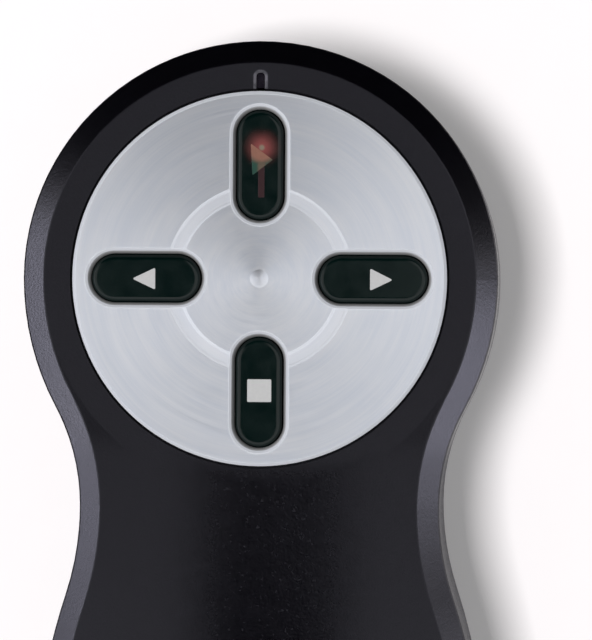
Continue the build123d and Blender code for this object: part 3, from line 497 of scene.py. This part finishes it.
# ---------------------------------------------------------------- springs
def cell_spring(name, node, towards_head, turns=3.5, wire_radius=0.3 * MM, taper=0.62, sides=14,
                steps_per_turn=48):
    """A dry cell's spring as a round wire swept along a helix about Y, which rises towards the head or the
    tail. Its radius narrows by the taper from the plate to the cell. Its first and last half turns lie flat,
    and between them its rise is mostly even and eases in and out a little. Each ring of the wire is a circle
    square to the helix, and both ends close on a point."""
    eased = 0.15
    flat_turn = 0.5
    low, high = (np.array(corner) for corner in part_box(node))
    middle = (low + high) / 2
    coil_radius = (high[0] - low[0]) / 2 - wire_radius
    length = high[1] - low[1] - 2 * wire_radius
    all_turns = turns + 2 * flat_turn
    turn = np.linspace(0, 1, int(all_turns * steps_per_turn)) * all_turns
    rise = np.clip((turn - flat_turn) / turns, 0, 1)
    rise = rise * rise * (3 - 2 * rise) * eased + rise * (1 - eased)
    radius = coil_radius * (1 - (1 - taper) * rise)
    angle = 2 * pi * turn
    height = length * (rise - 0.5) * (1 if towards_head else -1)
    line = np.stack([radius * np.cos(angle), height, radius * np.sin(angle)], axis=1)
    along = np.gradient(line, axis=0)
    along /= np.linalg.norm(along, axis=1, keepdims=True)
    outward = np.stack([np.cos(angle), np.zeros_like(angle), np.sin(angle)], axis=1)
    outward -= along * (outward * along).sum(axis=1, keepdims=True)
    outward /= np.linalg.norm(outward, axis=1, keepdims=True)
    sideways = np.cross(along, outward)
    around = np.linspace(0, 2 * pi, sides, endpoint=False)[None, :, None]
    circle = outward[:, None] * np.cos(around) + sideways[:, None] * np.sin(around)
    wire = line[:, None] + wire_radius * circle
    points = np.concatenate([wire.reshape(-1, 3), line[[0, -1]]]) + middle
    first_ring = np.arange(sides)
    last_ring = first_ring + (len(line) - 1) * sides
    start_point, end_point = len(points) - 2, len(points) - 1
    ends = np.concatenate([closing_fan(first_ring, start_point, turned=True),
                           closing_fan(last_ring, end_point)])
    piece = make_piece(name, points, band_faces(len(line), sides), ends)
    piece.data.materials.append(spring_metal)
    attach(piece, "case")
    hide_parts(node)


cell_spring("cell_spring_left", "spring_left", towards_head=True)
cell_spring("cell_spring_right", "spring_right", towards_head=False)


# ---------------------------------------------------------------- printed marks
def rounded_outline(corners, corner_radius, count):
    """Outline of a convex polygon with rounded corners: in each direction it is the polygon's farthest
    corner, set in by the radius, plus a circle of that radius."""
    corners = np.asarray(corners, float)
    before = np.roll(corners, 1, axis=0) - corners
    after = np.roll(corners, -1, axis=0) - corners
    before /= np.linalg.norm(before, axis=1, keepdims=True)
    after /= np.linalg.norm(after, axis=1, keepdims=True)
    bisector = before + after
    half_sine = np.sqrt((1 - (before * after).sum(axis=1)) / 2)
    bisector /= np.linalg.norm(bisector, axis=1, keepdims=True)
    inner = corners + bisector * (corner_radius / half_sine)[:, None]
    angle = np.linspace(0, 2 * pi, count, endpoint=False)
    direction = np.stack([np.cos(angle), np.sin(angle)], axis=1)
    farthest = (direction @ inner.T).argmax(axis=1)
    return inner[farthest] + corner_radius * direction


def mark_pad(name, corners, finish, body, corner_radius=0.10, proud=0.015, bevel=0.008):
    """A thin pad of ink: the rounded outline runs up from under the button's face to its bevel, then the
    top closes on its middle. Sizes in millimetres, places from the middle of the faceplate."""
    sunk = 0.03
    count = 96
    outline = rounded_outline(corners, corner_radius, count)
    middle = outline.mean(axis=0)
    heights = np.array([-sunk, proud - bevel, proud, proud])
    shrink = np.array([1.0, 1.0, 0.985, 0.5])
    levels = len(heights)
    rows = middle + (outline - middle) * shrink[:, None, None]
    rises = np.broadcast_to(heights[:, None, None], (levels, count, 1))
    points = np.concatenate([rows, rises], axis=2).reshape(-1, 3)
    points = np.concatenate([points, [[*middle, proud], [*middle, -sunk]]])
    points = points * MM + [plate_x, plate_y, button_top]
    lowest_row = np.arange(count)
    highest_row = lowest_row + (levels - 1) * count
    top_point, under_point = levels * count, levels * count + 1
    caps = np.concatenate([closing_fan(highest_row, top_point),
                           closing_fan(lowest_row, under_point, turned=True)])
    piece = make_piece(name, points, band_faces(levels, count), caps, smooth=False)
    piece.data.materials.append(finish)
    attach(piece, body)


grey_print = screen_ink("grey_print", (0.46, 0.46, 0.465), (0.54, 0.54, 0.54))
laser_print = screen_ink("laser_print", (0.008, 0.038, 0.027), (0.014, 0.052, 0.037), (0.4, 0.55),
                         over_red=((0.185, 0.084, 0.058), (0.25, 0.12, 0.088)))
beam_print = screen_ink("beam_print", (0.015, 0.003, 0.0045), (0.023, 0.005, 0.007), (0.35, 0.5))
mark_pad("back_arrow", [(-9.16, -1.03), (-9.16, 0.92), (-11.21, -0.06)], grey_print, "back_button")
mark_pad("forward_arrow", [(9.75, 0.95), (9.75, -1.02), (11.76, -0.06)], grey_print, "forward_button")
mark_pad("stop_square", [(-1.0, -8.85), (-1.0, -10.85), (1.12, -10.85), (1.12, -8.85)], grey_print,
         "stop_button")
mark_pad("start_arrow", [(-0.81, 11.87), (-0.65, 9.08), (1.13, 10.45)], laser_print, "laser_button",
         corner_radius=0.05, proud=0.014)
mark_pad("beam_line", [(-0.146, 9.8), (-0.146, 7.13), (0.411, 7.13), (0.411, 9.8)], beam_print,
         "laser_button", proud=0.008, bevel=0.004)


# ---------------------------------------------------------------- studio
def pale_paper():
    """Pale paper that keeps shadows, and shows nearly white to the camera, to metal and through glass."""
    f = Finish("pale_paper")
    fibre = f.noise(f.place, scale=300)
    paper = f.add("BsdfDiffuse", {"Color": f.mix(fibre, (0.825, 0.79, 0.80), (0.84, 0.805, 0.815))})
    glow = f.add("Emission", {"Color": colour(WHITE), "Strength": f.math("MULTIPLY", f.seen(), 0.20)})
    return f.close(f.add("AddShader", {0: paper, 1: glow}))


def black_card():
    """Card that gives back no light."""
    f = Finish("black_card")
    return f.close(f.add("BsdfDiffuse", {"Color": colour(BLACK)}))


def level_corners(x_low, x_high, y_low, y_high, z):
    """The corners of a level rectangle."""
    return [(x_low, y_low, z), (x_high, y_low, z), (x_high, y_high, z), (x_low, y_high, z)]


def flat_sheet(name, corners, finish):
    """A flat four-cornered sheet of the studio."""
    sheet = make_piece(name, corners, np.array([[0, 1, 2, 3]]), smooth=False)
    sheet.data.materials.append(finish)
    return sheet


floor_reach = 4.0
floor_z = -0.05 * MM
floor_corners = level_corners(-floor_reach, floor_reach, -floor_reach, floor_reach, floor_z)
flat_sheet("paper_floor", floor_corners, pale_paper())

# Black cards that only glossy surfaces see. They stand and lie beyond the head, which is north, and hang
# over the clicker.
north_left, north_right = (-0.53, 0.31), (0.56, 0.11)
head_front = 0.068
north_floor_z, west_floor_z = 0.6 * MM, 0.4 * MM
roof_z, roof_split, roof_north = 0.30, -0.004, 0.084
slope_z, slope_north = 0.20, 0.25
card_corners = {
    "card_north": [(*north_left, 0.0), (*north_right, 0.0), (*north_right, 0.20), (*north_left, 0.24)],
    "card_north_floor": [(-0.10, head_front, north_floor_z), (0.10, head_front, north_floor_z),
                         (*north_right, north_floor_z), (*north_left, north_floor_z)],
    "card_floor": level_corners(-0.16, -0.028, -0.01, head_front, west_floor_z),
    "card_over_plate": level_corners(-0.052, 0.010, roof_split, roof_north, roof_z),
    "card_over_handle": level_corners(-0.100, 0.064, -0.090, roof_split, roof_z),
    "card_high_north": [(-0.12, roof_north, roof_z), (0.02, roof_north, roof_z),
                        (0.07, slope_north, slope_z), (-0.22, slope_north, slope_z)],
}
card = black_card()
for name, corners in card_corners.items():
    sheet = flat_sheet(name, corners, card)
    sheet.visible_camera = False
    sheet.visible_diffuse = False
    sheet.visible_shadow = False
    sheet.visible_transmission = False


def lamp(name, place, width, height, brightness, glossy=True, diffuse=True, tint=WHITE):
    """A soft rectangular lamp that faces the head; its brightness is the light that its face gives off."""
    light = bpy.data.lights.new(name, "AREA")
    light.shape = "RECTANGLE"
    light.size = width
    light.size_y = height
    light.energy = brightness * pi * width * height
    light.color = tint
    box = bpy.data.objects.new(name, light)
    bpy.context.scene.collection.objects.link(box)
    box.location = place
    box.rotation_euler = (Vector(lamp_target) - Vector(place)).to_track_quat("-Z", "Y").to_euler()
    box.visible_camera = False
    box.visible_glossy = glossy
    box.visible_diffuse = diffuse


def leaning(target, distance, tilt, turn):
    """The point at a distance from the target, tilted from straight above it towards the turn from +X."""
    return (target[0] + distance * sin(tilt) * cos(turn), target[1] + distance * sin(tilt) * sin(turn),
            target[2] + distance * cos(tilt))


lamp_target = (0.0, plate_y - 0.01, 0.02)
key_distance, key_size = 1.1, 0.20
key_tilt, key_turn = radians(8.5), radians(190)
key_place = leaning((lamp_target[0], lamp_target[1], 0.0), key_distance, key_tilt, key_turn)
cool_white = (0.87, 0.87, 1.0)
strip_z, strip_height = 0.062, 0.12
lamp("key_lamp", key_place, key_size, key_size, 80.0, glossy=False)
lamp("left_strip", (-0.52, -0.075, strip_z), 0.57, strip_height, 8.4, diffuse=False, tint=cool_white)
lamp("right_strip", (0.50, -0.165, strip_z), 0.37, strip_height, 5.8, diffuse=False, tint=cool_white)


def studio_world():
    """White to the camera, to metal and through glass, and a weak even fill on matt surfaces."""
    fill = 0.20
    world = bpy.data.worlds.new("studio")
    world.use_nodes = True
    w = ShaderNodes(world.node_tree)
    strength = w.even_span(w.seen(), 0.0, 1.0, fill, 1.0)
    w.node("OutputWorld", {"Surface": w.add("Background", {"Color": colour(WHITE), "Strength": strength})})
    return world


bpy.context.scene.world = studio_world()

# ---------------------------------------------------------------- camera
picture_height = 640
pixels_per_mm = 11.38
eye_tilt, eye_turn = radians(2.7), radians(0.35)
aim = (plate_x + 3.26 * MM, plate_y - 3.62 * MM, plate_top)
camera = bpy.data.cameras.new("camera")
camera.lens = 300
camera.clip_start = 0.01
camera.clip_end = 20
eye = bpy.data.objects.new("camera", camera)
bpy.context.scene.collection.objects.link(eye)
bpy.context.scene.camera = eye
eye_distance = picture_height / pixels_per_mm * MM * camera.lens / camera.sensor_width
eye.location = leaning(aim, eye_distance, eye_tilt, eye_turn)
eye.rotation_euler = (0, eye_tilt, eye_turn)

bpy.context.scene.view_settings.view_transform = "Standard"
